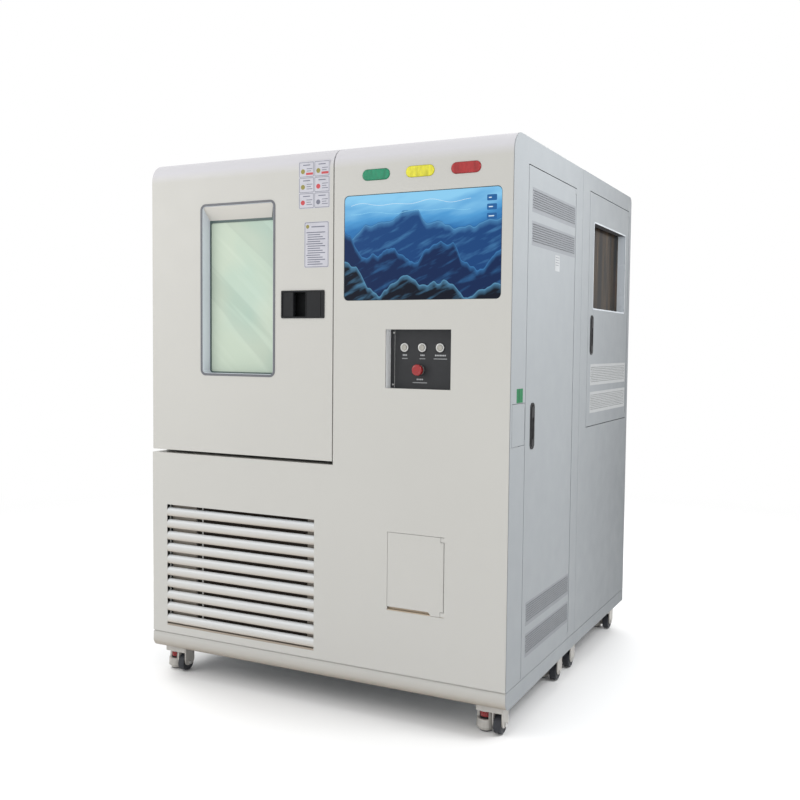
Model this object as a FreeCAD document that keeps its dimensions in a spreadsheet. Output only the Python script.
import FreeCAD, Part
import math
import os
import re

# A temperature aging chamber on levelling casters, in millimetres, +Z up, front towards -Y.
# Sub-parts are drawn from the front left corner at floor level, and each is moved so that the
# origin is under the middle of the body.
os.makedirs("parts", exist_ok=True)
doc = FreeCAD.newDocument("aging_chamber")
sheet = doc.addObject("Spreadsheet::Sheet", "Dims")
places = doc.addObject("Spreadsheet::Sheet", "Places")

# The driving sizes
SIZES = [
    ("body_wide", 1305), ("front_deep", 680), ("whole_deep", 1370), ("body_top", 1750),
    ("body_under", 100), ("skirt_high", 45), ("plate", 2), ("thin", 1.5), ("seat_gap", 0.3),
    ("run_gap", 0.05), ("past", 5), ("edge_round", 60), ("nose_round", 43), ("nose_deep", 46),
    ("rear_round", 25), ("groove", 2.5), ("seam", 0.5), ("skirt_lip", 16), ("gasket_space", 4),
    ("column_wide", 583), ("low_panel_top", 770), ("floor_rise", 8), ("door_rise", 11),
    ("door_left", 2), ("door_gap", 4), ("door_back", 70), ("window_in", 206),
    ("window_to_handle", 24), ("window_low", 1038), ("window_under_roof", 68),
    ("window_round", 18), ("trim_wide", 10), ("trim_proud", 1.5), ("trim_wall", 4),
    ("window_recess", 43), ("pane", 5), ("spacer_wide", 12), ("handle_in", 29),
    ("handle_long", 160), ("handle_low", 1226), ("handle_tall", 87), ("handle_proud", 2.5),
    ("handle_deep", 34), ("handle_rim", 5), ("paddle_wide", 46), ("scoop_wide", 62),
    ("paddle_thick", 15), ("paddle_pin_in", 3.5), ("paddle_pin", 1.5), ("paddle_sunk", 0.5),
    ("paddle_gap", 1.2), ("paddle_end_gap", 0.6), ("room_left", 92), ("room_wall", 78),
    ("room_floor", 91), ("room_roof", 80), ("room_rear", 120), ("plug_inset", 10),
    ("plug_deep", 16), ("gasket_wide", 20), ("gasket_out", 34), ("baffle_space", 80),
    ("baffle_slot", 40), ("baffle_margin", 60), ("shelf_rise", 138), ("shelf_step", 320),
    ("shelf_front", 105), ("shelf_rear", 15), ("shelf_rod", 4), ("wire_rod", 2),
    ("wire_step", 34), ("rail_wide", 14), ("fan_drop", 230), ("fan_radius", 88),
    ("hub_radius", 22), ("fan_behind", 17), ("fan_deep", 34), ("blade_thick", 2),
    ("shaft_radius", 6), ("shaft_past", 110), ("shaft_hole", 9), ("inlet_radius", 96),
    ("motor_radius", 58), ("motor_past", 135), ("motor_flange", 136), ("flange_thick", 8),
    ("coil_side", 30), ("coil_rise", 28), ("coil_under_fan", 170), ("coil_deep", 58),
    ("fin_step", 24), ("tube_radius", 6), ("tube_first", 12), ("tube_step", 36),
    ("louvre_left", 62), ("louvre_in", 67), ("louvre_rise", 27), ("louvre_tall", 420),
    ("louvre_rim", 6), ("blade_high", 28), ("blade_step", 41.2), ("blade_deep", 14),
    ("blade_round", 9), ("blade_first", 8), ("bar_wide", 16), ("screen_in", 35),
    ("screen_wide", 512.5), ("screen_tall", 317), ("screen_drop", 58), ("screen_round", 15),
    ("screen_back", 45), ("screen_lip", 12), ("glass_thick", 4), ("lamp_in", 98),
    ("lamp_step", 146), ("lamp_wide", 93), ("lamp_high", 33), ("lamp_drop", 96),
    ("lamp_round", 16), ("lamp_proud", 3), ("lamp_deep", 14), ("pocket_in", 182),
    ("pocket_wide", 214.5), ("pocket_drop", 87.5), ("pocket_tall", 176.5), ("pocket_deep", 34),
    ("button_in", 48), ("button_step", 58.8), ("button_drop", 53.5), ("button_radius", 9),
    ("collar_radius", 13.5), ("collar_proud", 5), ("barrel_radius", 11.5), ("barrel_long", 28),
    ("button_proud", 8), ("button_long", 22), ("stop_in", 99), ("stop_drop", 120.5),
    ("stop_radius", 17), ("stop_stand", 26), ("stop_thick", 14), ("stop_collar", 16),
    ("flap_in", 13), ("flap_wide", 188), ("flap_low", 340), ("flap_tall", 238),
    ("small_gap", 1.2), ("bead_small", 2.6), ("pin_small", 1.2), ("lug_small", 14),
    ("return_small", 9), ("tank_in", 13), ("tank_side", 43), ("tank_behind", 14),
    ("tank_deep", 242), ("tank_drop", 20), ("cup_in", 48), ("cup_wide", 90), ("cup_front", 22),
    ("cup_rise", 70), ("cup_tall", 60), ("neck_radius", 18), ("tank_wall", 3),
    ("side_front", 126), ("side_rear", 80), ("side_rise", 5), ("side_drop", 78), ("bead", 4),
    ("pin", 1.6), ("lug", 18), ("notch", 9), ("pan_deep", 17), ("jamb", 14), ("vent_in", 30),
    ("vent_rear", 8), ("vent_high", 72), ("vent_drop", 131), ("vent_step", 98),
    ("vent_rise", 56), ("vent_low_step", 96), ("hole_long", 26), ("hole_high", 8),
    ("hole_step", 34), ("hole_row", 15), ("hole_margin", 6), ("seat_wide", 28),
    ("seat_high", 140), ("seat_proud", 1.5), ("seat_deep", 12), ("lever_wide", 18),
    ("lever_high", 122), ("lever_proud", 3), ("lever_thick", 8), ("lever_gap", 0.6),
    ("lever_pin", 1.5), ("lever_in", 47), ("lever_side_low", 836), ("lever_rear_in", 34),
    ("lever_under_glass", 161), ("hatch_front", 14), ("hatch_gap", 4), ("hatch_low", 855),
    ("hatch_tall", 123), ("rear_in", 90), ("rear_rear", 33), ("rear_drop", 61),
    ("rear_under_vent", 46), ("rear_glass_in", 52), ("rear_glass_drop", 98),
    ("rear_glass_tall", 312), ("rear_recess", 36), ("rear_rim", 14), ("rear_rim_round", 12),
    ("rear_vent_in", 44), ("rear_vent_rear", 17), ("rear_vent_drop", 110),
    ("rear_vent_step", 100), ("rear_vent_high", 76), ("slot_in", 391.5), ("slot_drop", 300),
    ("service_side", 20), ("service_edge", 60), ("service_head", 80), ("beam_wide", 50),
    ("beam_rise", 4), ("beam_wall", 4), ("caster_inset", 66), ("caster_front", 78),
    ("caster_in", 75), ("caster_pad", 60), ("caster_drop", 4), ("stem_radius", 8),
    ("fork_half", 44), ("fork_front", 42), ("fork_back", 16), ("fork_low", 22),
    ("head_low", 67), ("leg", 3.5), ("wheel_x", 27), ("wheel_y", 18), ("wheel_radius", 29),
    ("wheel_wide", 24), ("wheel_lift", 1.5), ("wheel_gap", 1), ("tread_gap", 2),
    ("axle_radius", 4), ("boss_x", 22), ("boss_y", 4), ("boss_radius", 20), ("boss_low", 40),
    ("dial_low", 60), ("dial_high", 74), ("dial_radius", 17), ("post_radius", 8),
    ("foot_radius", 21), ("foot_high", 12), ("screw_radius", 5), ("core_side", 96),
    ("core_behind", 18), ("core_deep", 40), ("core_drop", 218), ("cool_fan_z", 360),
    ("cool_fan_radius", 150), ("cool_ring", 160), ("cool_gap", 8), ("cool_deep", 30),
    ("cool_motor_radius", 40), ("cool_motor_in", 50), ("cool_motor_long", 68),
    ("cool_shaft", 4), ("arm_thick", 8), ("arm_half", 10), ("arm_foot", 4), ("can_x", 300),
    ("can_in", 250), ("can_radius", 92), ("can_high", 270), ("can_round", 35),
    ("mount_thick", 8), ("foot_plate", 220), ("cover_deep", 10), ("cover_proud", 20),
    ("cover_half", 30), ("cover_tall", 80), ("rack_left", 90), ("rack_wide", 530),
    ("rack_low", 900), ("rack_drop", 110), ("rack_stand", 20), ("relay_wide", 90),
    ("relay_deep", 70), ("relay_high", 110), ("relay_step", 120), ("relay_in", 30),
    ("relay_up", 80), ("hinge_out", 9), ("hinge_back", 1), ("hinge_radius", 8),
    ("hinge_pin", 4), ("hinge_half", 38), ("hinge_gap", 1), ("hinge_rise", 119),
    ("hinge_drop", 190), ("leaf_long", 31), ("gland_x", 180), ("gland_z", 230),
    ("gland_radius", 16),
]

# Places that follow from the sizes, in order
PLACES = [
    ("skirt_top", "body_under + skirt_high"), ("cabinet_front", "door_back + gasket_space"),
    ("column_left", "body_wide - column_wide"), ("bay_floor", "low_panel_top + floor_rise"),
    ("divider_left", "column_left - door_gap"), ("door_right", "column_left - door_gap"),
    ("door_low", "low_panel_top + door_rise"), ("room_right", "door_right - room_wall"),
    ("room_low", "door_low + room_floor"), ("room_high", "body_top - room_roof"),
    ("room_back", "front_deep - room_rear"), ("handle_right", "door_right - handle_in"),
    ("handle_left", "handle_right - handle_long"), ("handle_high", "handle_low + handle_tall"),
    ("window_left", "door_left + window_in"), ("window_right", "handle_left - window_to_handle"),
    ("window_high", "room_high - window_under_roof"), ("baffle_at", "room_back - baffle_space"),
    ("shelf_low", "room_low + shelf_rise"), ("shelf_high", "shelf_low + shelf_step"),
    ("shelf_back", "baffle_at - shelf_rear"), ("fan_x", "(room_left + room_right) / 2"),
    ("fan_z", "room_high - fan_drop"), ("fan_front", "baffle_at + fan_behind"),
    ("shaft_end", "front_deep + shaft_past"), ("motor_end", "front_deep + motor_past"),
    ("coil_low", "room_low + coil_rise"), ("coil_high", "fan_z - coil_under_fan"),
    ("coil_front", "room_back - coil_deep"), ("louvre_right", "column_left - louvre_in"),
    ("louvre_low", "skirt_top + louvre_rise"), ("louvre_high", "louvre_low + louvre_tall"),
    ("lamp_left", "column_left + lamp_in"), ("lamp_mid", "body_top - lamp_drop"),
    ("screen_right", "body_wide - screen_in"), ("screen_left", "screen_right - screen_wide"),
    ("screen_high", "lamp_mid - screen_drop"), ("screen_low", "screen_high - screen_tall"),
    ("pocket_left", "column_left + pocket_in"), ("pocket_right", "pocket_left + pocket_wide"),
    ("pocket_high", "screen_low - pocket_drop"), ("pocket_low", "pocket_high - pocket_tall"),
    ("button_first", "pocket_left + button_in"), ("button_z", "pocket_high - button_drop"),
    ("barrel_end", "pocket_deep + barrel_long"), ("button_end", "pocket_deep + button_long"),
    ("stop_x", "pocket_left + stop_in"), ("stop_z", "pocket_high - stop_drop"),
    ("stop_face", "pocket_deep - stop_stand"), ("flap_left", "pocket_left + flap_in"),
    ("flap_right", "flap_left + flap_wide"), ("flap_high", "flap_low + flap_tall"),
    ("tank_left", "flap_left + tank_in"), ("tank_right", "body_wide - tank_side"),
    ("tank_front", "cabinet_front + tank_behind"), ("tank_back", "tank_front + tank_deep"),
    ("tank_high", "flap_low - tank_drop"), ("cup_left", "flap_left + cup_in"),
    ("cup_right", "cup_left + cup_wide"), ("cup_low", "flap_low + cup_rise"),
    ("cup_high", "cup_low + cup_tall"), ("side_back", "front_deep - side_rear"),
    ("side_low", "skirt_top + side_rise"), ("side_high", "body_top - side_drop"),
    ("vent_front", "side_front + vent_in"), ("vent_back", "side_back - vent_rear"),
    ("vent_a", "side_high - vent_drop"), ("vent_b", "vent_a - vent_step"),
    ("vent_d", "side_low + vent_rise"), ("vent_c", "vent_d + vent_low_step"),
    ("lever_side", "side_front + lever_in"), ("hatch_back", "side_front - hatch_gap"),
    ("hatch_high", "hatch_low + hatch_tall"), ("rear_front", "front_deep + rear_in"),
    ("rear_back", "whole_deep - rear_rear"), ("rear_high", "body_top - rear_drop"),
    ("rear_glass_front", "rear_front + rear_glass_in"), ("lever_rear", "rear_front + lever_rear_in"),
    ("rear_glass_back", "rear_back - rear_glass_in"), ("rear_glass_high", "rear_high - rear_glass_drop"),
    ("rear_glass_low", "rear_glass_high - rear_glass_tall"),
    ("lever_rear_low", "rear_glass_low - lever_under_glass"),
    ("rear_vent_a", "lever_rear_low - rear_vent_drop"), ("rear_vent_b", "rear_vent_a - rear_vent_step"),
    ("rear_low", "rear_vent_b - rear_under_vent"), ("rear_vent_front", "rear_front + rear_vent_in"),
    ("rear_vent_back", "rear_back - rear_vent_rear"), ("beam_low", "body_under + beam_rise"),
    ("caster_top", "body_under - caster_drop"), ("caster_mid", "front_deep - caster_in"),
    ("caster_seam", "front_deep + caster_in"), ("caster_rear", "whole_deep - caster_in"),
    ("core_left", "room_left"), ("core_right", "divider_left - core_side"),
    ("core_front", "cabinet_front + core_behind"), ("core_back", "core_front + core_deep"),
    ("core_high", "bay_floor - core_drop"), ("cool_fan_x", "(core_left + core_right) / 2"),
    ("cool_front", "core_back + cool_gap"), ("cool_motor_front", "core_back + cool_motor_in"),
    ("cool_motor_end", "cool_motor_front + cool_motor_long"), ("can_y", "front_deep - can_in"),
    ("rack_right", "rack_left + rack_wide"), ("rack_high", "body_top - rack_drop"),
    ("relay_rise", "(rack_high - rack_low - rack_stand) / 3"), ("hinge_x", "-hinge_out"),
    ("hinge_y", "door_back + hinge_back"), ("hinge_low", "door_low + hinge_rise"),
    ("hinge_high", "body_top - hinge_drop"),
]

BLADE_LEAN = 20
BAR_SHARES = (0.2, 0.5, 0.8)
SLOT_ROWS = 10
RELAY_ROWS = 3
RELAY_COLUMNS = 4

WORD = re.compile(r"[a-z][a-z_]*")
PLACE_NAMES = {name for name, formula in PLACES}
TURNS = {"Z": (0, 0, 1, 0), "X": (0, 1, 0, 90), "Y": (1, 0, 0, -90)}
SIDES = {"left": "XMin", "right": "XMax", "front": "YMin", "back": "YMax", "low": "ZMin", "top": "ZMax"}
subparts = []


# A word of a formula with the sheet that holds it
def cell_of(word):
    return ("Places." if word.group(0) in PLACE_NAMES else "Dims.") + word.group(0)


def fill_sheets():
    for row, (alias, value) in enumerate(SIZES, 1):
        sheet.set(f"A{row}", alias)
        sheet.set(f"B{row}", str(value))
        sheet.setAlias(f"B{row}", alias)
    doc.recompute()
    for row, (alias, formula) in enumerate(PLACES, 1):
        places.set(f"A{row}", alias)
        places.setAlias(f"B{row}", alias)
        places.set(f"B{row}", "=" + WORD.sub(place_cell, formula))
    doc.recompute()


# Inside the sheet of places, its own cells go by their alias alone
def place_cell(word):
    return word.group(0) if word.group(0) in PLACE_NAMES else "Dims." + word.group(0)


def bind(item, prop, formula):
    item.setExpression(prop, WORD.sub(cell_of, str(formula)))


def place(item, x, y, z):
    bind(item, "Placement.Base.x", x)
    bind(item, "Placement.Base.y", y)
    bind(item, "Placement.Base.z", z)


# A box between two planes on each axis
def block(xs, ys, zs):
    item = doc.addObject("Part::Box", "block")
    size_box(item, xs, ys, zs)
    return item


def size_box(item, xs, ys, zs):
    for prop, (low, high) in zip(("Length", "Width", "Height"), (xs, ys, zs)):
        bind(item, prop, f"({high}) - ({low})")
    place(item, xs[0], ys[0], zs[0])


# The edges of a feature that run along an axis, or lie on every named side, or both
def edges_on(feature, axis, sides):
    box = feature.Shape.BoundBox
    names = []
    for number, edge in enumerate(feature.Shape.Edges, 1):
        if axis and abs(getattr(edge.tangentAt(edge.FirstParameter), axis.lower())) < 0.99:
            continue
        if axis and edge.Curve.TypeId != "Part::GeomLine":
            continue
        limit = edge.BoundBox
        spots = [SIDES[side] for side in sides]
        if all(abs(getattr(limit, spot) - getattr(box, spot)) < 0.01
               and abs(getattr(limit, spot[0] + "Length")) < 0.01 for spot in spots):
            names.append(f"Edge{number}")
    return names


# A box with rounded edges: each round is (radius, axis or None, side, side)
def soft_block(xs, ys, zs, *rounds):
    body = doc.addObject("PartDesign::Body", "soft_body")
    feature = body.newObject("PartDesign::AdditiveBox", "soft_block")
    size_box(feature, xs, ys, zs)
    return round_body(body, feature, rounds)


def round_body(body, feature, rounds):
    for radius, axis, *sides in rounds:
        doc.recompute()
        names = edges_on(feature, axis, sides)
        fillet = body.newObject("PartDesign::Fillet", "round")
        fillet.Base = (feature, names)
        bind(fillet, "Radius", radius)
        feature = fillet
    doc.recompute()
    return body


# A solid cylinder from a point along +X, +Y or +Z
def rod(x, y, z, radius, length, axis="Z"):
    item = doc.addObject("Part::Cylinder", "rod")
    bind(item, "Radius", radius)
    bind(item, "Height", length)
    turn = TURNS[axis]
    item.Placement.Rotation = FreeCAD.Rotation(FreeCAD.Vector(*turn[:3]), turn[3])
    place(item, x, y, z)
    return item


def fuse(*items):
    joined = doc.addObject("Part::MultiFuse", "joined")
    joined.Shapes = list(items)
    return joined


def cut(base, *tools):
    result = doc.addObject("Part::Cut", "trimmed")
    result.Base = base
    result.Tool = tools[0] if len(tools) == 1 else fuse(*tools)
    return result


# A box with walls, open on the named sides
def shell(xs, ys, zs, wall, opened, *rounds):
    ends = []
    for (low, high), (start, end) in zip((xs, ys, zs),
                                         (("left", "right"), ("front", "back"), ("low", "top"))):
        inner_low = f"{low} - past" if start in opened else f"{low} + {wall}"
        inner_high = f"{high} + past" if end in opened else f"{high} - {wall}"
        ends.append((inner_low, inner_high))
    if not rounds:
        return cut(block(xs, ys, zs), block(*ends))
    inner_rounds = [(f"{radius} - {wall}", *where) for radius, *where in rounds]
    return cut(soft_block(xs, ys, zs, *rounds), soft_block(*ends, *inner_rounds))


# The sheet bent over the rounded upper edge of a box: its front or back, and its top
def hood(xs, ys, zs, round_size, side):
    opened = [name for name in SIDES if name not in (side, "top")]
    return shell(xs, ys, zs, "plate", opened, (round_size, "X", side, "top"))


# A side wall that stands inside a hood, a seat gap away from it
def hood_wall(xs, ys, zs, round_size, side):
    inset = "(plate + seat_gap)"
    depth = (f"{ys[0]} + {inset}", ys[1]) if side == "front" else (ys[0], f"{ys[1]} - {inset}")
    return soft_block(xs, depth, (zs[0], f"{zs[1]} - {inset}"),
                      (f"{round_size} - {inset}", "X", side, "top"))


# Names a finished sub-part and moves it to the part's origin
def subpart(label, *items):
    final = items[0]
    if len(items) > 1:
        final = doc.addObject("Part::Compound", "set")
        final.Links = list(items)
    if final.TypeId in ("Part::Box", "Part::Cylinder", "PartDesign::Body"):
        inner = final
        final = doc.addObject("Part::Compound", "set")
        final.Links = [inner]
    final.Label = label
    bind(final, "Placement.Base.x", "-body_wide / 2")
    bind(final, "Placement.Base.y", "-whole_deep / 2")
    subparts.append(final)


def window_hole(grow, front, back):
    return soft_block((f"window_left + ({grow})", f"window_right - ({grow})"), (front, back),
                      (f"window_low + ({grow})", f"window_high - ({grow})"),
                      (f"window_round - ({grow}) / 2", "Y"))


def build_base_frame():
    right = "body_wide - plate - seat_gap"
    rear = "whole_deep - plate - seat_gap"
    left = "plate + seat_gap"
    zs = ("beam_low", "skirt_top + groove - seat_gap")
    spans = [((left, f"{left} + beam_wide"), ("nose_deep", rear)),
             ((f"{right} - beam_wide", right), ("nose_deep", rear))]
    for front in ("nose_deep", "front_deep - beam_wide - plate", "front_deep + plate",
                  f"{rear} - beam_wide"):
        spans.append(((left, right), (front, f"{front} + beam_wide")))
    beams = [block(xs, ys, zs) for xs, ys in spans]
    hollows = []
    for xs, ys in spans:
        inner_x = (f"{xs[0]} + beam_wall", f"{xs[1]} - beam_wall")
        inner_y = (f"{ys[0]} + beam_wall", f"{ys[1]} - beam_wall")
        hollows.append(block(inner_x, inner_y, ("beam_low + beam_wall",
                                                "skirt_top + groove - seat_gap - beam_wall")))
    frame = cut(fuse(*beams), *hollows)
    pads = []
    stems = []
    for _, x, y in caster_places():
        pads.append(block((f"{x} - caster_pad / 2", f"{x} + caster_pad / 2"),
                          (f"{y} - caster_pad / 2", f"{y} + caster_pad / 2"),
                          ("caster_top + seat_gap", "beam_low + beam_wall")))
        stems.append(rod(x, y, "caster_top - past", "stem_radius + run_gap", "past * 4"))
    subpart("base_frame", cut(fuse(frame, *pads), *stems))


def build_skirt():
    low, top = "body_under", "skirt_top - seat_gap"
    nose = shell(("0", "body_wide"), ("0", "nose_deep - seat_gap"), (low, top), "plate", ("back", "top"),
                 ("nose_round", "X", "front", "low"))
    pieces = [nose]
    for start, end in (("nose_deep", "front_deep"), ("front_deep + seam", "whole_deep - plate - seam")):
        pieces.append(fuse(block(("0", "plate"), (start, end), (low, top)),
                           block(("0", "skirt_lip"), (start, end), (low, f"{low} + plate"))))
        pieces.append(fuse(block(("body_wide - plate", "body_wide"), (start, end), (low, top)),
                           block(("body_wide - skirt_lip", "body_wide"), (start, end),
                                 (low, f"{low} + plate"))))
    rear_back = ("whole_deep - plate", "whole_deep")
    pieces.append(fuse(block(("0", "body_wide"), rear_back, (low, top)),
                       block(("skirt_lip", "body_wide - skirt_lip"),
                             ("whole_deep - skirt_lip", "whole_deep"),
                             (low, f"{low} + plate"))))
    subpart("skirt_rails", *pieces)


# The fixed lugs and pin of a hinge whose bead stands along Z at the point given
def hinge_pin(x, y, low, high, radius):
    return rod(x, y, f"{low} + past", radius, f"({high}) - ({low}) - 2 * past")


def build_fascia():
    low = "skirt_top + groove"
    back = "cabinet_front - seat_gap"
    side = "body_wide - plate - seat_gap"
    column = hood(("column_left", side), ("0", back), (low, "body_top"), "edge_round", "front")
    panel = block(("0", "column_left + plate"), ("0", "plate"), (low, "low_panel_top"))
    behind = ("plate + seat_gap", back)
    inside = f"{low} + plate + seat_gap"
    walls = [block(("0", side), behind, (low, f"{low} + plate")),
             block(("0", "plate"), behind, (inside, "low_panel_top - plate - seat_gap")),
             block(("0", "column_left - seat_gap"), behind, ("low_panel_top - plate", "low_panel_top")),
             hood_wall(("column_left", "column_left + plate"), ("0", back), (inside, "body_top"),
                       "edge_round", "front")]
    hinge_x = "flap_right - small_gap - bead_small"
    lugs = []
    for z in ("flap_low", "flap_high - lug_small"):
        lugs.append(block((f"{hinge_x} - 2 * bead_small", "flap_right + past"), ("0", "2 * bead_small"),
                          (z, f"{z} + lug_small")))
    flap_hole = block(("flap_left - small_gap", "flap_right"), ("-past", "past"),
                      ("flap_low - small_gap", "flap_high + small_gap"))
    holes = [soft_block((f"lamp_left + {i} * lamp_step - seat_gap",
                         f"lamp_left + {i} * lamp_step + lamp_wide + seat_gap"),
                        ("-past", "past"),
                        ("lamp_mid - lamp_high / 2 - seat_gap", "lamp_mid + lamp_high / 2 + seat_gap"),
                        ("lamp_round", "Y")) for i in range(3)]
    holes.append(soft_block(("screen_left - seat_gap", "screen_right + seat_gap"), ("-past", "past"),
                            ("screen_low - seat_gap", "screen_high + seat_gap"), ("screen_round", "Y")))
    holes.append(block(("louvre_left - seat_gap", "louvre_right + seat_gap"), ("-past", "past"),
                       ("louvre_low - seat_gap", "louvre_high + seat_gap")))
    holes.append(flap_hole)
    holes.append(block(("pocket_left", "pocket_right"), ("-past", "past"), ("pocket_low", "pocket_high")))
    pin = hinge_pin(hinge_x, "bead_small", "flap_low", "flap_high", "pin_small")
    subpart("front_fascia", fuse(cut(fuse(column, panel), *holes), *lugs, pin), *walls)


def build_louvres():
    xs = ("louvre_left", "louvre_right")
    rim = cut(block(xs, ("0", "blade_deep"), ("louvre_low", "louvre_high")),
              block(("louvre_left + louvre_rim", "louvre_right - louvre_rim"),
                    ("-past", "blade_deep + past"),
                    ("louvre_low + louvre_rim", "louvre_high - louvre_rim")))
    inner = ("louvre_left + louvre_rim / 2", "louvre_right - louvre_rim / 2")
    pieces = [rim]
    count = int((sheet_value("louvre_high") - sheet_value("louvre_low")) / sheet_value("blade_step"))
    for i in range(count):
        low = f"louvre_low + blade_first + {i} * blade_step"
        pieces.append(shell(inner, ("plate", "blade_deep"), (low, f"{low} + blade_high"), "plate",
                            ("back",),
                            ("blade_round", "X", "front")))
    for share in BAR_SHARES:
        middle = f"louvre_left + {share} * (louvre_right - louvre_left)"
        pieces.append(block((f"{middle} - bar_wide / 2", f"{middle} + bar_wide / 2"),
                            ("blade_deep - seat_gap", "blade_deep + plate"),
                            ("louvre_low + plate", "louvre_high - plate")))
    subpart("intake_louvres", fuse(*pieces))


# Flat sheets a seat gap apart
def build_front_cabinet():
    low = "skirt_top + groove"
    side = "body_wide - plate - seat_gap"
    inner = "plate + seat_gap"
    back = f"front_deep - ({inner})"
    depth = ("cabinet_front", back)
    between = (f"{low} + {inner}", f"body_top - ({inner})")
    bay = (inner, "divider_left - seat_gap")
    left = block(("0", "plate"), depth, (low, "body_top"))
    rear = block(("0", side), ("front_deep - plate", "front_deep"), (low, "body_top"))
    roof = block((inner, side), depth, ("body_top - plate", "body_top"))
    base = block((inner, side), depth, (low, f"{low} + plate"))
    divider = block(("divider_left", "divider_left + plate"), depth, between)
    floor = block(bay, depth, ("bay_floor", "bay_floor + plate"))
    face = block(bay, ("cabinet_front", "cabinet_front + plate"),
                 (f"bay_floor + {inner}", between[1]))
    mouth = block(("room_left - thin - seat_gap", "room_right + thin + seat_gap"),
                  ("cabinet_front - past", "cabinet_front + past"),
                  ("room_low - thin - seat_gap", "room_high + thin + seat_gap"))
    service = block(("column_left + service_side", "body_wide - service_edge"),
                    ("front_deep - past", "front_deep + past"),
                    ("skirt_top + service_edge", "body_top - service_head"))
    shaft = rod("fan_x", "front_deep - past", "fan_z", "shaft_hole", "2 * past", "Y")
    leaves = []
    pins = []
    bores = []
    for z in ("hinge_low", "hinge_high"):
        leaves.append(block(("hinge_x", "plate"), ("hinge_y", "hinge_y + leaf_long"),
                            (z, f"{z} + hinge_half")))
        leaves.append(rod("hinge_x", "hinge_y", z, "hinge_radius", "hinge_half"))
        bores.append(block(("-seat_gap", "past"), ("cabinet_front - 2 * past", "cabinet_front"),
                           (z, f"{z} + hinge_half")))
        pins.append(rod("hinge_x", "hinge_y", z, "hinge_pin", "2 * hinge_half"))
    hinged = fuse(cut(fuse(left, *leaves), *bores), *pins)
    subpart("front_cabinet_shell", hinged, cut(rear, service, shaft), roof, base, divider, floor,
            cut(face, mouth))


# The right side of the front cabinet, with the openings of its door and hatch
def build_side_frame():
    low = "skirt_top + groove"
    xs = ("body_wide - plate", "body_wide")
    panel = soft_block(xs, ("0", "front_deep"), (low, "body_top"), ("edge_round", "X", "front", "top"))
    opening = block(("body_wide - past", "body_wide + past"), ("side_front - groove", "side_back + plate"),
                    (f"{low} - past", "side_high + groove"))
    hatch = block(("body_wide - past", "body_wide + past"), ("hatch_front - small_gap", "hatch_back"),
                  ("hatch_low - small_gap", "hatch_high + small_gap"))
    inward = ("body_wide - jamb", "body_wide - plate / 2")
    tall = (f"{low} + plate + seat_gap", "side_high + groove")
    jambs = [block(inward, ("side_back + plate", "side_back + 2 * plate"), tall),
             block(inward, ("side_front - groove - plate", "side_front - groove"), tall)]
    bead_y = "side_back - bead"
    lugs, pin = side_lugs(bead_y, "side_back + plate", "side_low", "side_high", "bead", "lug", "notch",
                          "pin")
    hatch_y = "hatch_back - small_gap - bead_small"
    small = side_lugs(hatch_y, "hatch_back", "hatch_low", "hatch_high", "bead_small", "lug_small",
                      "2 * bead_small", "pin_small")
    frame = fuse(cut(panel, opening, hatch), *jambs, *lugs, *small[0])
    subpart("right_side_frame", fuse(frame, pin, small[1]))


# Lugs that fill the notches at both ends of a side door's bead, and the pin between them
def side_lugs(bead_y, edge_y, low, high, bead, lug, notch, pin):
    lugs = [block((f"body_wide - 2 * {bead}", "body_wide"),
                  (f"{bead_y} - {notch} + small_gap", f"{edge_y} + {bead}"),
                  (z, f"{z} + {lug}")) for z in (low, f"{high} - {lug}")]
    return lugs, hinge_pin(f"body_wide - {bead}", bead_y, low, high, pin)


# A side door: a pan with its bead, notched for the lugs and bored for the pin
def side_panel(front, back, low, high, bead, lug, notch, pin, deep):
    bead_y = f"{back} - {bead}"
    pan = shell((f"body_wide - {deep}", "body_wide"), (front, bead_y), (low, high), "plate", ("left",))
    bar = rod(f"body_wide - {bead}", bead_y, low, bead, f"({high}) - ({low})")
    notches = [block((f"body_wide - {deep} - past", "body_wide + past"),
                     (f"{bead_y} - {notch}", f"{back} + past"), span)
               for span in ((f"{low} - past", f"{low} + {lug} + small_gap"),
                            (f"{high} - {lug} - small_gap", f"{high} + past"))]
    bore = rod(f"body_wide - {bead}", bead_y, low, f"{pin} + run_gap", f"({high}) - ({low})")
    return cut(fuse(pan, bar), *notches, bore)


def vent_holes(front, back, low, high_size):
    holes = []
    length = sheet_value(back) - sheet_value(front) - 2 * sheet_value("hole_margin")
    columns = int(length / sheet_value("hole_step"))
    rows = int((sheet_value(high_size) - sheet_value("hole_margin")) / sheet_value("hole_row"))
    for row in range(rows):
        z = f"{low} + hole_margin + {row} * hole_row"
        for column in range(columns):
            y = f"{front} + hole_margin + {column} * hole_step + {row % 2} * hole_step / 4"
            holes.append(block(("body_wide - past", "body_wide + past"), (y, f"{y} + hole_long"),
                               (z, f"{z} + hole_high")))
    return holes


def sheet_value(alias):
    return float(getattr(places if alias in PLACE_NAMES else sheet, alias))


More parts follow.
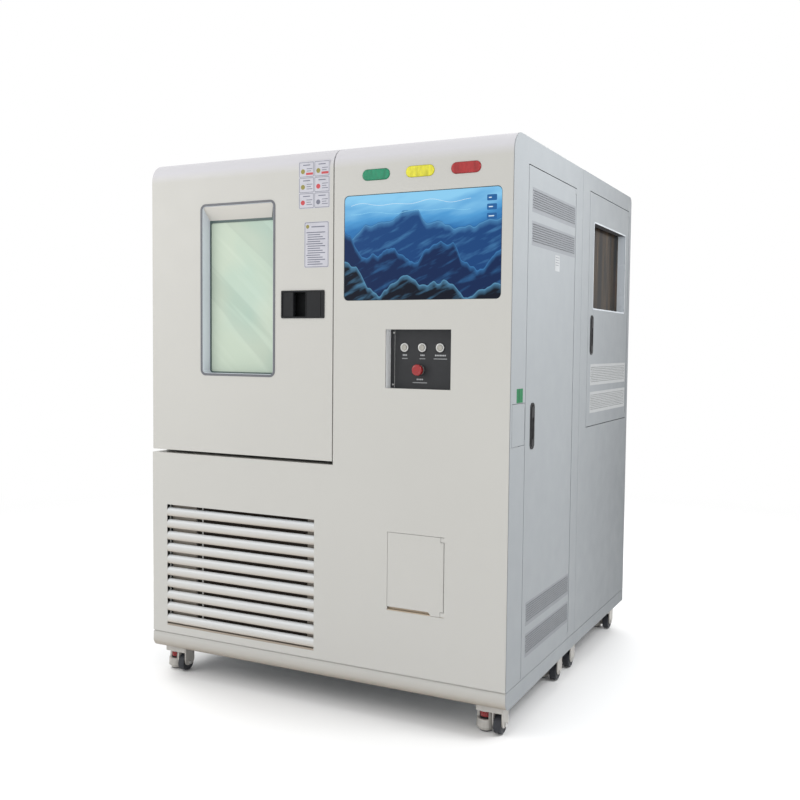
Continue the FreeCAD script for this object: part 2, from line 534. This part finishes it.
def build_side_doors():
    holes = []
    for low in ("vent_a", "vent_b", "vent_c", "vent_d"):
        holes += vent_holes("vent_front", "vent_back", low, "vent_high")
    door = side_panel("side_front", "side_back", "side_low", "side_high", "bead", "lug", "notch", "pin",
                      "pan_deep")
    subpart("side_door_front", cut(door, seat_hole("lever_side", "lever_side_low"), *holes))
    holes = []
    for low in ("rear_vent_a", "rear_vent_b"):
        holes += vent_holes("rear_vent_front", "rear_vent_back", low, "rear_vent_high")
    glass = soft_block(("body_wide - 2 * pan_deep", "body_wide + past"),
                       ("rear_glass_front + plate - seat_gap", "rear_glass_back - plate + seat_gap"),
                       ("rear_glass_low + plate - seat_gap", "rear_glass_high - plate + seat_gap"),
                       ("rear_rim_round - plate", "X"))
    door = side_panel("rear_front", "rear_back", "rear_low", "rear_high", "bead", "lug", "notch", "pin",
                      "pan_deep")
    subpart("side_door_rear", cut(door, seat_hole("lever_rear", "lever_rear_low"), glass, *holes))
    hatch = side_panel("hatch_front", "hatch_back - small_gap", "hatch_low", "hatch_high", "bead_small",
                       "lug_small", "2 * bead_small", "pin_small", "return_small")
    subpart("side_hatch", hatch)


def seat_hole(front, low):
    return block(("body_wide - past", "body_wide + past"),
                 (f"{front} + plate - seat_gap", f"{front} + seat_wide - plate + seat_gap"),
                 (f"{low} + plate - seat_gap", f"{low} + seat_high - plate + seat_gap"))


# A flush swing handle: its seat in the door, and the lever on a pin near the top of the seat
def build_swing_handle(label, front, low):
    middle = f"{front} + seat_wide / 2"
    face = "body_wide + seat_proud"
    flange = soft_block(("body_wide", face), (front, f"{front} + seat_wide"), (low, f"{low} + seat_high"),
                        ("seat_wide / 2 - plate", "X"))
    cup = block(("body_wide - seat_deep", "body_wide + seat_proud / 2"),
                (f"{front} + plate", f"{front} + seat_wide - plate"),
                (f"{low} + plate", f"{low} + seat_high - plate"))
    lever_low = f"{low} + (seat_high - lever_high) / 2"
    lever_top = f"{lever_low} + lever_high"
    sides = (f"{middle} - lever_wide / 2", f"{middle} + lever_wide / 2")
    back = "body_wide + lever_proud - lever_thick"
    hollow = block((f"{back} - lever_gap", "body_wide + past"),
                   (f"{sides[0]} - lever_gap", f"{sides[1]} + lever_gap"),
                   (f"{lever_low} - lever_gap", f"{lever_top} + lever_gap"))
    pin_x = "body_wide + lever_proud - lever_thick / 2"
    pin_z = f"{lever_top} - lever_thick / 2"
    pin = rod(pin_x, f"{sides[0]} - plate", pin_z, "lever_pin", "lever_wide + 2 * plate", "Y")
    lugs = block((back, "body_wide + lever_proud - plate"),
                 (f"{sides[0]} - plate - lever_gap", f"{sides[1]} + plate + lever_gap"),
                 (f"{pin_z} - lever_thick / 2", f"{pin_z} + lever_thick / 2"))
    seat = fuse(cut(fuse(flange, cup, lugs), hollow), pin)
    bar = block((back, "body_wide + lever_proud"), sides, (lever_low, pin_z))
    head = rod(pin_x, sides[0], pin_z, "lever_thick / 2", "lever_wide", "Y")
    bore = rod(pin_x, f"{sides[0]} - past", pin_z, "lever_pin + run_gap", "lever_wide + 2 * past", "Y")
    subpart(f"lever_seat_{label}", seat)
    subpart(f"swing_lever_{label}", cut(fuse(bar, head), bore))


def build_rear_window():
    xs = ("body_wide - rear_recess", "body_wide")
    ys = ("rear_glass_front + plate", "rear_glass_back - plate")
    zs = ("rear_glass_low + plate", "rear_glass_high - plate")
    tube = cut(soft_block(xs, ys, zs, ("rear_rim_round - plate", "X")),
               soft_block((f"{xs[0]} - past", f"{xs[1]} + past"), (f"{ys[0]} + plate", f"{ys[1]} - plate"),
                          (f"{zs[0]} + plate", f"{zs[1]} - plate"), ("rear_rim_round - 2 * plate", "X")))
    flange = cut(block(("body_wide - rear_recess", "body_wide - rear_recess + plate"), ys, zs),
                 block(("body_wide - rear_recess - past", "body_wide"),
                       (f"{ys[0]} + rear_rim", f"{ys[1]} - rear_rim"),
                       (f"{zs[0]} + rear_rim", f"{zs[1]} - rear_rim")))
    pane = block(("body_wide - rear_recess + plate + seat_gap",
                  "body_wide - rear_recess + plate + seat_gap + pane"),
                 (f"{ys[0]} + plate + seat_gap", f"{ys[1]} - plate - seat_gap"),
                 (f"{zs[0]} + plate + seat_gap", f"{zs[1]} - plate - seat_gap"))
    lip = cut(soft_block(("body_wide", "body_wide + plate / 2"), ("rear_glass_front", "rear_glass_back"),
                         ("rear_glass_low", "rear_glass_high"), ("rear_rim_round", "X")),
              soft_block(("body_wide - past", "body_wide + past"), (f"{ys[0]} + plate", f"{ys[1]} - plate"),
                         (f"{zs[0]} + plate", f"{zs[1]} - plate"), ("rear_rim_round - 2 * plate", "X")))
    subpart("rear_window", fuse(tube, flange, lip), pane)


def build_rear_cabinet():
    low = "skirt_top + groove"
    front = "front_deep + seam"
    inner = "plate + seat_gap"
    depth = (front, "whole_deep")
    tall = (low, "body_top")
    bent = hood(("0", "body_wide"), depth, tall, "rear_round", "back")
    left = hood_wall(("0", "plate"), depth, tall, "rear_round", "back")
    right = hood_wall(("body_wide - plate", "body_wide"), depth, tall, "rear_round", "back")
    base = block((inner, f"body_wide - ({inner})"), (front, f"whole_deep - ({inner})"),
                 (low, f"{low} + plate"))
    opening = block(("body_wide - past", "body_wide + past"), ("rear_front - groove", "rear_back + plate"),
                    ("rear_low - groove", "rear_high + groove"))
    inward = ("body_wide - jamb", "body_wide - plate / 2")
    span = ("rear_low - groove", "rear_high + groove")
    jambs = [block(inward, ("rear_back + plate", "rear_back + 2 * plate"), span),
             block(inward, ("rear_front - groove - plate", "rear_front - groove"), span)]
    lugs, pin = side_lugs("rear_back - bead", "rear_back + plate", "rear_low", "rear_high", "bead", "lug",
                          "notch", "pin")
    slots = []
    for i in range(SLOT_ROWS):
        z = f"rear_high - slot_drop + {i} * 2 * hole_row"
        slots.append(block(("slot_in", "body_wide - slot_in"), ("whole_deep - past", "whole_deep + past"),
                           (z, f"{z} + hole_row")))
    gland_hole = rod("gland_x", "whole_deep - past", "gland_z", "gland_radius", "2 * past", "Y")
    gland = cut(rod("gland_x", "whole_deep - 2 * past", "gland_z", "gland_radius", "2 * past", "Y"),
                rod("gland_x", "whole_deep - 3 * past", "gland_z", "gland_radius / 2", "4 * past", "Y"))
    doorway = fuse(cut(right, opening), *jambs, *lugs, pin)
    subpart("rear_cabinet_shell", fuse(cut(bent, gland_hole, *slots), gland), left, doorway, base)


def build_room():
    ys = ("cabinet_front + seat_gap", "room_back")
    liner = shell(("room_left - thin", "room_right + thin"), ys, ("room_low - thin", "room_high + thin"),
                  "thin", ("front",))
    shaft = rod("fan_x", "room_back - past", "fan_z", "shaft_hole", "2 * past", "Y")
    subpart("chamber_liner", cut(liner, shaft))
    gap = "(plate + seat_gap)"
    foam = block((gap, "divider_left - seat_gap"), (f"cabinet_front + {gap}", f"front_deep - {gap}"),
                 (f"bay_floor + {gap}", f"body_top - {gap}"))
    cavity = block(("room_left - thin - seat_gap", "room_right + thin + seat_gap"),
                   ("0", "room_back + seat_gap"),
                   ("room_low - thin - seat_gap", "room_high + thin + seat_gap"))
    tube = rod("fan_x", "room_back - past", "fan_z", "shaft_hole", "front_deep", "Y")
    subpart("chamber_insulation", cut(foam, cavity, tube))


def build_baffle():
    xs = ("room_left + seat_gap", "room_right - seat_gap")
    plate = block(xs, ("baffle_at", "baffle_at + thin"), ("room_low + seat_gap", "room_high - seat_gap"))
    ends = ("room_left + baffle_margin", "room_right - baffle_margin")
    slots = [block(ends, ("baffle_at - past", "baffle_at + past"), (z, f"{z} + baffle_slot"))
             for z in ("room_low + baffle_slot", "room_high - 2 * baffle_slot")]
    inlet = rod("fan_x", "baffle_at - past", "fan_z", "inlet_radius", "2 * past", "Y")
    subpart("air_baffle", cut(plate, inlet, *slots))


def build_shelves():
    left, right = "room_left + rail_wide", "room_right - rail_wide"
    pieces = []
    for level in ("shelf_low", "shelf_high"):
        ring = [rod(f"{left} + shelf_rod", y, level, "shelf_rod", f"{right} - ({left}) - 2 * shelf_rod",
                    "X")
                for y in ("shelf_front", "shelf_back")]
        ring += [rod(x, "shelf_front - shelf_rod", level, "shelf_rod",
                     "shelf_back - shelf_front + 2 * shelf_rod", "Y")
                 for x in (f"{left} + shelf_rod + seat_gap", f"{right} - shelf_rod - seat_gap")]
        count = int((sheet_value("room_right") - sheet_value("room_left")) / sheet_value("wire_step")) - 1
        wires = [rod(f"{left} + {i} * wire_step", "shelf_front", level, "wire_rod",
                     "shelf_back - shelf_front", "Y")
                 for i in range(1, count)]
        pieces.append(fuse(*ring, *wires))
        under = f"{level} - shelf_rod - seat_gap"
        depth = ("shelf_front - shelf_rod", "shelf_back + shelf_rod")
        for xs in (("room_left + seat_gap", f"{left} + 2 * shelf_rod"),
                   (f"{right} - 2 * shelf_rod", "room_right - seat_gap")):
            pieces.append(block(xs, depth, (f"{under} - plate", under)))
    subpart("wire_shelves", *pieces)


# An impeller on its shaft, round an axis along Y. Its flat blades start just inside the hub and
# keep off the line where the hub's round face closes
def impeller(x, z, front, deep, radius, hub, shaft, shaft_to, blades):
    pieces = [rod(x, front, z, hub, deep, "Y"), rod(x, front, z, shaft, f"{shaft_to} - ({front})", "Y")]
    for i in range(blades):
        angle = 360 * (i + 0.5) / blades
        blade = doc.addObject("Part::Box", "blade")
        bind(blade, "Length", f"{radius} - {hub} + 2 * blade_thick")
        bind(blade, "Width", f"{deep} - 2 * blade_thick")
        bind(blade, "Height", "blade_thick")
        turn = FreeCAD.Rotation(FreeCAD.Vector(0, 1, 0), angle)
        lean = FreeCAD.Rotation(FreeCAD.Vector(1, 0, 0), BLADE_LEAN)
        blade.Placement.Rotation = turn.multiply(lean)
        across, rise = math.cos(math.radians(angle)), -math.sin(math.radians(angle))
        root = f"({hub} - 2 * blade_thick)"
        place(blade, f"{x} + ({across:.6f}) * {root}", f"{front} + blade_thick",
              f"{z} + ({rise:.6f}) * {root}")
        pieces.append(blade)
    return fuse(*pieces)


def build_fans():
    fan = impeller("fan_x", "fan_z", "fan_front", "fan_deep", "fan_radius", "hub_radius", "shaft_radius",
                   "shaft_end", 8)
    subpart("circulation_fan", fan)
    start = "front_deep + seat_gap"
    half = "motor_flange / 2"
    flange = block((f"fan_x - {half}", f"fan_x + {half}"), (start, f"{start} + flange_thick"),
                   (f"fan_z - {half}", f"fan_z + {half}"))
    can = rod("fan_x", start, "fan_z", "motor_radius", f"motor_end - ({start})", "Y")
    bore = rod("fan_x", "0", "fan_z", "shaft_radius + run_gap", "shaft_end + seat_gap", "Y")
    subpart("fan_motor", cut(fuse(flange, can), bore))
    fan = impeller("cool_fan_x", "cool_fan_z", "cool_front", "cool_deep", "cool_fan_radius",
                   "cool_motor_radius",
                   "cool_shaft", "cool_motor_end - past", 6)
    subpart("condenser_fan", fan)


def build_coils():
    xs = ("room_left + coil_side", "room_right - coil_side")
    ys = ("coil_front", "room_back - thin - seat_gap")
    middle = "(coil_front + room_back - thin - seat_gap) / 2"
    across = sheet_value("room_right") - sheet_value("room_left") - 2 * sheet_value("coil_side")
    count = int(across / sheet_value("fin_step"))
    fins = [block((f"{xs[0]} + {i} * fin_step", f"{xs[0]} + {i} * fin_step + plate"), ys,
                  ("coil_low", "coil_high"))
            for i in range(count + 1)]
    rows = int((sheet_value("coil_high") - sheet_value("coil_low")) / sheet_value("tube_step"))
    tubes = [rod(xs[0], middle, f"coil_low + tube_first + {i} * tube_step", "tube_radius",
                 f"{xs[1]} - ({xs[0]})", "X")
             for i in range(rows)]
    subpart("evaporator_coil", fuse(*fins, *tubes))
    floor = "skirt_top + groove + plate + seat_gap"
    core = block(("core_left", "core_right"), ("core_front", "core_back"), (floor, "core_high"))
    ring = cut(rod("cool_fan_x", "core_back", "cool_fan_z", "cool_ring", "cool_deep + 2 * past", "Y"),
               rod("cool_fan_x", "core_back - past", "cool_fan_z", "cool_ring - plate",
                   "cool_deep + 4 * past", "Y"))
    can = rod("cool_fan_x", "cool_motor_front", "cool_fan_z", "cool_motor_radius",
              "cool_motor_end - cool_motor_front", "Y")
    arms = []
    arm_high = ("cool_fan_z - arm_half", "cool_fan_z + arm_half")
    reach = ("cool_fan_x - (cool_ring - plate)", "cool_fan_x + (cool_ring - plate)")
    arms.append(block(reach, ("cool_motor_front", "cool_motor_front + arm_thick"), arm_high))
    for x in reach:
        arms.append(block((f"{x} - arm_foot", f"{x} + arm_foot"),
                          ("core_back - plate", "cool_motor_front + arm_thick"), arm_high))
    bore = rod("cool_fan_x", "core_back", "cool_fan_z", "cool_shaft + run_gap",
               "cool_motor_end - core_back - past + seat_gap", "Y")
    subpart("condenser_coil", fuse(core, ring, cut(fuse(can, *arms), bore)))


def build_compressor():
    floor = "skirt_top + groove + plate + seat_gap"
    body = doc.addObject("PartDesign::Body", "can")
    can = body.newObject("PartDesign::AdditiveCylinder", "can_wall")
    bind(can, "Radius", "can_radius")
    bind(can, "Height", "can_high")
    place(can, "can_x", "can_y", f"{floor} + mount_thick - plate")
    round_body(body, can, [("can_round", None, "top")])
    half = "foot_plate / 2"
    plate = block((f"can_x - {half}", f"can_x + {half}"), (f"can_y - {half}", f"can_y + {half}"),
                  (floor, f"{floor} + mount_thick"))
    cover = block(("can_x + can_radius - cover_deep", "can_x + can_radius + cover_proud"),
                  ("can_y - cover_half", "can_y + cover_half"), ("can_high", "can_high + cover_tall"))
    line = rod("can_x - can_radius / 2", "can_y", f"{floor} + can_high - cover_deep", "tube_radius",
               f"bay_floor - can_high - ({floor}) + cover_deep - seat_gap")
    subpart("compressor", fuse(body, plate, cover, line))


def build_lamps():
    lamps = []
    for i in range(3):
        left = f"lamp_left + {i} * lamp_step"
        lamps.append(soft_block((left, f"{left} + lamp_wide"), ("-lamp_proud", "lamp_deep"),
                                ("lamp_mid - lamp_high / 2", "lamp_mid + lamp_high / 2"),
                                ("lamp_round", "Y"), ("lamp_proud - seat_gap", None, "front")))
    subpart("signal_lamps", *lamps)


def build_monitor():
    glass = soft_block(("screen_left", "screen_right"), ("plate / 2", "plate / 2 + glass_thick"),
                       ("screen_low", "screen_high"), ("screen_round", "Y"))
    back = "plate / 2 + glass_thick + seat_gap"
    case = block(("screen_left - screen_lip", "screen_right + screen_lip"),
                 ("plate + seat_gap", "screen_back"),
                 ("screen_low - screen_lip", "screen_high + screen_lip"))
    seat = block(("screen_left - seat_gap", "screen_right + seat_gap"), ("0", back),
                 ("screen_low - seat_gap", "screen_high + seat_gap"))
    subpart("monitor", glass, cut(case, seat))


def button_places():
    buttons = [(f"button_first + {i} * button_step", "button_z") for i in range(3)]
    return buttons + [("stop_x", "stop_z")]


def build_controls():
    front = "pocket_deep"
    panel = block(("pocket_left + seat_gap", "pocket_right - seat_gap"), (front, f"{front} + plate"),
                  ("pocket_low + seat_gap", "pocket_high - seat_gap"))
    drills = [rod(x, f"{front} - past", z, "barrel_radius + seat_gap", "3 * past", "Y")
              for x, z in button_places()]
    depth = ("plate + seat_gap", f"{front} + plate")
    tray = cut(block(("pocket_left - plate", "pocket_right + plate"), depth,
                     ("pocket_low - plate", "pocket_high + plate")),
               block(("pocket_left", "pocket_right"), ("0", f"{front} + past"),
                     ("pocket_low", "pocket_high")))
    subpart("control_plate", cut(panel, *drills), tray)
    collars = []
    for x, z in button_places():
        radius = "stop_collar" if x == "stop_x" else "collar_radius"
        ring = rod(x, f"{front} - collar_proud", z, radius, "collar_proud - seat_gap", "Y")
        barrel = rod(x, f"{front} - collar_proud", z, "barrel_radius",
                     f"barrel_end - {front} + collar_proud", "Y")
        bore = rod(x, "0", z, "button_radius + run_gap", "barrel_end - 2 * plate", "Y")
        collars.append(cut(fuse(ring, barrel), bore))
    subpart("button_collars", *collars)
    for i, (x, z) in enumerate(button_places()[:3]):
        start = f"{front} - button_proud"
        stem = rod(x, start, z, "button_radius", f"button_end - {front} - past + button_proud", "Y")
        subpart(f"push_button_{i + 1}", stem)
    body = doc.addObject("PartDesign::Body", "stop_cap")
    head = body.newObject("PartDesign::AdditiveCylinder", "stop_head")
    bind(head, "Radius", "stop_radius")
    bind(head, "Height", "stop_thick")
    head.Placement.Rotation = FreeCAD.Rotation(FreeCAD.Vector(1, 0, 0), -90)
    place(head, "stop_x", "stop_face", "stop_z")
    round_body(body, head, [("stop_thick / 3", None, "front")])
    stem = rod("stop_x", "stop_face + plate", "stop_z", "button_radius",
               "button_end - stop_face - plate - past", "Y")
    subpart("emergency_stop", fuse(body, stem))


def build_flap():
    bead_x = "flap_right - small_gap - bead_small"
    pan = shell(("flap_left", bead_x), ("0", "return_small"), ("flap_low", "flap_high"), "plate", ("back",))
    bar = rod(bead_x, "bead_small", "flap_low", "bead_small", "flap_high - flap_low")
    notches = [block((f"{bead_x} - 3 * bead_small", "flap_right + past"), ("-past", "2 * past"), span)
               for span in (("flap_low - past", "flap_low + lug_small + small_gap"),
                            ("flap_high - lug_small - small_gap", "flap_high + past"))]
    bore = rod(bead_x, "bead_small", "flap_low", "pin_small + run_gap", "flap_high - flap_low")
    subpart("filler_flap", cut(fuse(pan, bar), *notches, bore))


def build_tank():
    floor = "skirt_top + groove + plate + seat_gap"
    tank = block(("tank_left", "tank_right"), ("tank_front", "tank_back"), (floor, "tank_high"))
    middle = "(cup_left + cup_right) / 2"
    neck_y = "tank_front + neck_radius + tank_wall"
    cup = block(("cup_left", "cup_right"), ("cup_front", f"{neck_y} + neck_radius"),
                ("cup_low", "cup_high"))
    neck = rod(middle, neck_y, "tank_high - tank_wall", "neck_radius",
               "cup_low - tank_high + 2 * tank_wall")
    hollow = block(("tank_left + tank_wall", "tank_right - tank_wall"),
                   ("tank_front + tank_wall", "tank_back - tank_wall"),
                   (f"{floor} + tank_wall", "tank_high - tank_wall"))
    basin = block(("cup_left + tank_wall", "cup_right - tank_wall"),
                  ("cup_front + tank_wall", f"{neck_y} + neck_radius - tank_wall"),
                  ("cup_low + tank_wall", "cup_high + past"))
    pipe = rod(middle, neck_y, "tank_high - 2 * tank_wall", "neck_radius - tank_wall",
               "cup_low - tank_high + 4 * tank_wall")
    subpart("water_tank", cut(fuse(tank, cup, neck), hollow, basin, pipe))


def build_rack():
    wall = "whole_deep - plate - seat_gap"
    board = block(("rack_left", "rack_right"), (f"{wall} - rack_stand - plate", f"{wall} - rack_stand"),
                  ("rack_low", "rack_high"))
    stands = [block((x, f"{x} + rack_stand"), (f"{wall} - rack_stand - plate / 2", wall),
                    (z, f"{z} + rack_stand"))
              for x in ("rack_left", "rack_right - rack_stand")
              for z in ("rack_low", "rack_high - rack_stand")]
    pieces = [fuse(board, *stands)]
    for row in range(RELAY_ROWS):
        z = f"rack_low + relay_up + {row} * relay_rise"
        for column in range(RELAY_COLUMNS):
            x = f"rack_left + relay_in + {column} * relay_step"
            pieces.append(block((x, f"{x} + relay_wide"),
                                (f"{wall} - rack_stand - plate - seat_gap - relay_deep",
                                 f"{wall} - rack_stand - plate - seat_gap"),
                                (z, f"{z} + relay_high")))
    subpart("electrical_plate", *pieces)


def build_door():
    depth = ("0", "door_back - plate")
    tall = ("door_low", "body_top")
    outer = hood(("door_left", "door_right"), depth, tall, "edge_round", "front")
    hinged = hood_wall(("door_left", "door_left + plate"), depth, tall, "edge_round", "front")
    shut = hood_wall(("door_right - plate", "door_right"), depth, tall, "edge_round", "front")
    base = block(("door_left + plate + seat_gap", "door_right - plate - seat_gap"),
                 ("plate + seat_gap", "door_back - plate"), ("door_low", "door_low + plate"))
    window = window_hole("trim_wide - trim_wall - seat_gap", "-past", "window_recess")
    grip = block(("handle_left + plate - seat_gap", "handle_right - plate + seat_gap"),
                 ("-past", "window_recess"),
                 ("handle_low + plate - seat_gap", "handle_high - plate + seat_gap"))
    leaves = []
    bores = []
    for z in ("hinge_low", "hinge_high"):
        start = f"{z} + hinge_half + hinge_gap"
        leaves.append(block(("hinge_x", "door_left + plate / 2"),
                            ("hinge_y - leaf_long", "hinge_y - 2 * plate"),
                            (start, f"{start} + hinge_half")))
        leaves.append(rod("hinge_x", "hinge_y", start, "hinge_radius", "hinge_half"))
        bores.append(rod("hinge_x", "hinge_y", z, "hinge_pin + run_gap", "3 * hinge_half"))
    subpart("door_skin", cut(outer, window, grip), cut(fuse(hinged, *leaves), *bores), shut, base)
    gap = "(plate + seat_gap)"
    room = ("room_left + plug_inset", "room_right - plug_inset")
    tall = ("room_low + plug_inset", "room_high - plug_inset")
    main = soft_block((f"door_left + {gap}", f"door_right - {gap}"), (gap, "door_back - plate - seat_gap"),
                      (f"door_low + {gap}", f"body_top - {gap}"),
                      (f"edge_round - {gap}", "X", "front", "top"))
    plug = block((f"{room[0]} + {gap}", f"{room[1]} - {gap}"),
                 ("window_recess", f"door_back + plug_deep - {gap}"),
                 (f"{tall[0]} + {gap}", f"{tall[1]} - {gap}"))
    clear = window_hole("trim_wide - trim_wall - seat_gap", "-past", "door_back + 2 * plug_deep")
    cup = block(("handle_left + plate - seat_gap", "handle_right - plate + seat_gap"),
                ("-past", "handle_deep + seat_gap"),
                ("handle_low + plate - seat_gap", "handle_high - plate + seat_gap"))
    subpart("door_core", cut(fuse(main, plug), clear, cup))
    pan = block(("door_left", "door_right"), ("door_back - plate + seat_gap", "door_back"),
                ("door_low", "body_top"))
    boss = block(room, ("door_back - plate + seat_gap", "door_back + plug_deep"), tall)
    hollow = block((f"{room[0]} + plate", f"{room[1]} - plate"), ("0", "door_back + plug_deep - plate"),
                   (f"{tall[0]} + plate", f"{tall[1]} - plate"))
    clear = window_hole("trim_wide - trim_wall - seat_gap", "-past", "door_back + 2 * plug_deep")
    subpart("door_inner_pan", cut(fuse(pan, boss), hollow, clear))
    wide = ("room_left - gasket_out", "room_right + gasket_out")
    high = ("room_low - gasket_out", "room_high + gasket_out")
    ys = ("door_back + seat_gap", "cabinet_front - seat_gap")
    gasket = cut(block(wide, ys, high),
                 block((f"{wide[0]} + gasket_wide", f"{wide[1]} - gasket_wide"),
                       ("0", "cabinet_front + past"),
                       (f"{high[0]} + gasket_wide", f"{high[1]} - gasket_wide")))
    subpart("door_gasket", gasket)


def build_window():
    flange = cut(window_hole("0", "-trim_proud", "-0.01"), window_hole("trim_wide", "-past", "past"))
    tube = cut(window_hole("trim_wide - trim_wall", "-trim_proud", "window_recess"),
               window_hole("trim_wide", "-past", "window_recess + past"))
    subpart("window_rim", fuse(flange, tube))
    front = "window_recess + seat_gap"
    back = "door_back + plug_deep"
    grow = "trim_wide - trim_wall"
    panes = [window_hole(grow, y, f"{y} + pane") for y in (front, f"{back} - pane")]
    spacer = cut(window_hole(grow, f"{front} + pane + seat_gap", f"{back} - pane - seat_gap"),
                 window_hole(f"{grow} + spacer_wide", "0", "door_back + 2 * plug_deep"))
    subpart("window_glass", panes[0], spacer, panes[1])


def build_handle():
    xs = ("handle_left", "handle_right")
    zs = ("handle_low", "handle_high")
    flange = soft_block(xs, ("-handle_proud", "-0.01"), zs, ("handle_rim", "Y"))
    cup = block(("handle_left + plate", "handle_right - plate"), ("-handle_proud / 2", "handle_deep"),
                ("handle_low + plate", "handle_high - plate"))
    inner_z = ("handle_low + handle_rim", "handle_high - handle_rim")
    start = "handle_left + handle_rim"
    scoop = block((start, f"{start} + paddle_wide + scoop_wide"), ("-past", "handle_deep - plate"), inner_z)
    pin_x = f"{start} + paddle_pin_in"
    pin_y = "paddle_pin_in - handle_proud + paddle_sunk"
    pin = rod(pin_x, pin_y, "handle_low + plate", "paddle_pin", "handle_high - handle_low - 2 * plate")
    subpart("handle_bezel", fuse(cut(fuse(flange, cup), scoop), pin))
    ys = ("paddle_sunk - handle_proud", "paddle_sunk - handle_proud + paddle_thick")
    bar = soft_block((f"{start} + seat_gap + paddle_gap", f"{start} + paddle_wide"), ys,
                     ("handle_low + handle_rim + paddle_end_gap",
                      "handle_high - handle_rim - paddle_end_gap"),
                     ("paddle_pin_in / 2", "Z", "left", "front"))
    bore = rod(pin_x, pin_y, "handle_low", "paddle_pin + run_gap", "handle_high - handle_low")
    subpart("handle_paddle", cut(bar, bore))


def caster_places():
    lefts = (("left", "caster_inset"), ("right", "body_wide - caster_inset"))
    rows = (("front", "caster_front"), ("mid", "caster_mid"), ("seam", "caster_seam"),
            ("rear", "caster_rear"))
    return [(f"{row}_{side}", x, y) for row, y in rows for side, x in lefts]


def build_caster(label, x, y):
    top = "caster_top"
    head = soft_block((f"{x} - fork_half", f"{x} + fork_half"), (f"{y} - fork_front", f"{y} + fork_back"),
                      ("head_low", top), ("fork_back / 2", "Z"))
    stem = rod(x, y, f"{top} - past", "stem_radius", "past + beam_low - caster_top + plate")
    legs = [block((start, f"{start} + leg"), (f"{y} - fork_front + plate", f"{y} + fork_back / 2"),
                  ("fork_low", f"{top} - past"))
            for start in (f"{x} + wheel_x - wheel_wide / 2 - leg - wheel_gap",
                          f"{x} + wheel_x + wheel_wide / 2 + wheel_gap")]
    well = block((f"{x} + wheel_x - wheel_wide / 2 - wheel_gap",
                  f"{x} + wheel_x + wheel_wide / 2 + wheel_gap"),
                 (f"{y} - fork_front - past", f"{y} - wheel_y + wheel_radius + tread_gap"),
                 ("0", "2 * wheel_lift + 2 * wheel_radius + wheel_gap"))
    axle_z = "wheel_lift + wheel_radius"
    axle = rod(f"{x} + wheel_x - wheel_wide / 2 - leg", f"{y} - wheel_y", axle_z, "axle_radius",
               "wheel_wide + 2 * leg", "X")
    boss_x, boss_y = f"{x} - boss_x", f"{y} - boss_y"
    boss = rod(boss_x, boss_y, "boss_low", "boss_radius", f"{top} - boss_low - past")
    slot = block((f"{x} - fork_half - past", f"{x} + wheel_x - wheel_wide / 2 - leg - wheel_gap"),
                 (f"{y} - fork_front - past", f"{y} + fork_back + past"),
                 ("dial_low - wheel_gap", "dial_high + wheel_gap"))
    post = rod(boss_x, boss_y, "dial_low - plate", "post_radius", "dial_high - dial_low + 2 * plate")
    body = fuse(cut(fuse(head, boss, *legs), well, slot), axle, stem, post)
    screw_hole = rod(boss_x, boss_y, "0", "screw_radius", "dial_high + past")
    dial = cut(rod(boss_x, boss_y, "dial_low", "dial_radius", "dial_high - dial_low"),
               rod(boss_x, boss_y, "0", "post_radius + seat_gap", top))
    foot = fuse(rod(boss_x, boss_y, "0", "foot_radius", "foot_high"),
                rod(boss_x, boss_y, "0", "screw_radius - seat_gap", "dial_high"))
    subpart(f"caster_{label}", cut(body, screw_hole), dial, foot)
    tyre = doc.addObject("PartDesign::Body", "tyre")
    disc = tyre.newObject("PartDesign::AdditiveCylinder", "disc")
    bind(disc, "Radius", "wheel_radius")
    bind(disc, "Height", "wheel_wide")
    disc.Placement.Rotation = FreeCAD.Rotation(FreeCAD.Vector(0, 1, 0), 90)
    place(disc, f"{x} + wheel_x - wheel_wide / 2", f"{y} - wheel_y", axle_z)
    round_body(tyre, disc, [("plate", None, "left"), ("plate", None, "right")])
    bore = rod(f"{x} + wheel_x - wheel_wide", f"{y} - wheel_y", axle_z, "axle_radius + run_gap",
               "2 * wheel_wide", "X")
    subpart(f"wheel_{label}", cut(tyre, bore))


def build_all():
    build_base_frame()
    build_skirt()
    build_fascia()
    build_louvres()
    build_front_cabinet()
    build_side_frame()
    build_rear_cabinet()
    build_room()
    build_baffle()
    build_shelves()
    build_fans()
    build_coils()
    build_compressor()
    build_lamps()
    build_monitor()
    build_controls()
    build_flap()
    build_tank()
    build_rack()
    build_door()
    build_window()
    build_handle()
    build_side_doors()
    build_rear_window()
    build_swing_handle("front", "lever_side", "lever_side_low")
    build_swing_handle("rear", "lever_rear", "lever_rear_low")
    for label, x, y in caster_places():
        build_caster(label, x, y)


# Nothing is written unless every object is sound
def check():
    faults = []
    for item in doc.Objects:
        if {"Invalid", "Error"} & set(item.State):
            faults.append(f"{item.Label} {item.TypeId} {item.State}")
    for item in subparts:
        if item.Shape.isNull() or not item.Shape.isValid() or not item.Shape.Solids:
            faults.append(f"{item.Label} has no valid shape")
    if faults:
        raise SystemExit("\n".join(faults))


fill_sheets()
build_all()
doc.recompute()
check()
for item in subparts:
    item.Shape.exportStep(f"parts/{item.Label}.step")
    print(item.Label, len(item.Shape.Solids), round(item.Shape.Volume))
print(len(subparts), "sub-parts")
